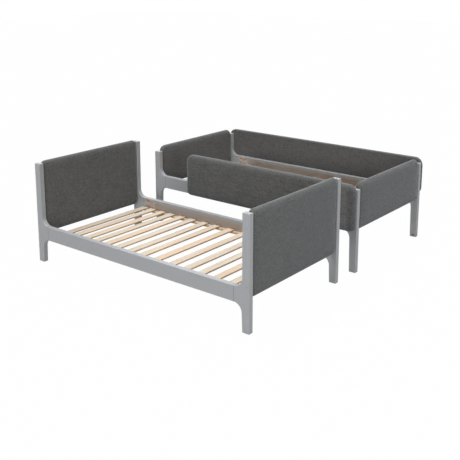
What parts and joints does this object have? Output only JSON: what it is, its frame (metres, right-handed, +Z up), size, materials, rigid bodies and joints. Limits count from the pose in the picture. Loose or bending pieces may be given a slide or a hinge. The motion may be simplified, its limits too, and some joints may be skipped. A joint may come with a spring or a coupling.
{
  "type": "upholstered bunk bed",
  "caption": "Upholstered bunk bed split into single beds side by side: wooden posts and rails, padded ends and guards, slatted bases; the bed with guards lifts off to stack.",
  "frame": {"origin": "middle of the footprint of both beds, on the floor", "axes": "+X along the beds from head to foot, +Y from the low bed to the high bed with the guards, +Z up"},
  "size_m": [2.062, 2.42, 0.798],
  "materials": {
    "painted_wood": "satin grey paint on smooth wood",
    "pine": "planed raw pine",
    "plywood": "sanded raw plywood",
    "upholstery": "fine charcoal linen weave over foam",
    "steel": "zinc plated",
    "cap_plastic": "matte grey"
  },
  "bodies": {
    "lower_bed": {"lower_post_front_left": "painted_wood", "lower_post_front_right": "painted_wood", "lower_post_back_left": "painted_wood", "lower_post_back_right": "painted_wood", "lower_rail_front": "painted_wood", "lower_ledger_front": "pine", "lower_rail_back": "painted_wood", "lower_ledger_back": "pine", "lower_headboard_core": "plywood", "lower_headboard_pad": "upholstery", "lower_footboard_core": "plywood", "lower_footboard_pad": "upholstery", "lower_rail_bolts": "steel", "lower_rail_inserts": "steel", "lower_panel_bolts": "steel", "lower_panel_nuts": "steel", "lower_bolt_caps": "cap_plastic", "lower_slat_screws": "steel", "lower_slat_01": "pine", "lower_slat_02": "pine", "lower_slat_03": "pine", "lower_slat_04": "pine", "lower_slat_05": "pine", "lower_slat_06": "pine", "lower_slat_07": "pine", "lower_slat_08": "pine", "lower_slat_09": "pine", "lower_slat_10": "pine", "lower_slat_11": "pine", "lower_slat_12": "pine", "lower_slat_13": "pine", "lower_slat_14": "pine", "lower_slat_15": "pine", "lower_stack_inserts": "steel"},
    "upper_bed": {"upper_post_front_left": "painted_wood", "upper_post_front_right": "painted_wood", "upper_post_back_left": "painted_wood", "upper_post_back_right": "painted_wood", "upper_rail_front": "painted_wood", "upper_ledger_front": "pine", "upper_rail_back": "painted_wood", "upper_ledger_back": "pine", "upper_headboard_core": "plywood", "upper_headboard_pad": "upholstery", "upper_footboard_core": "plywood", "upper_footboard_pad": "upholstery", "upper_rail_bolts": "steel", "upper_rail_inserts": "steel", "upper_panel_bolts": "steel", "upper_panel_nuts": "steel", "upper_bolt_caps": "cap_plastic", "upper_slat_screws": "steel", "upper_slats": "pine", "upper_front_guard_core": "plywood", "upper_front_guard_pad": "upholstery", "upper_back_guard_core": "plywood", "upper_back_guard_pad": "upholstery", "upper_guard_bolts": "steel", "upper_guard_inserts": "steel"}
  },
  "joints": [
    {"name": "upper_bed_lift", "type": "slide", "parent": "lower_bed", "child": "upper_bed", "axis": [0, 0, 1], "range_m": [0, 0.85]}
  ]
}
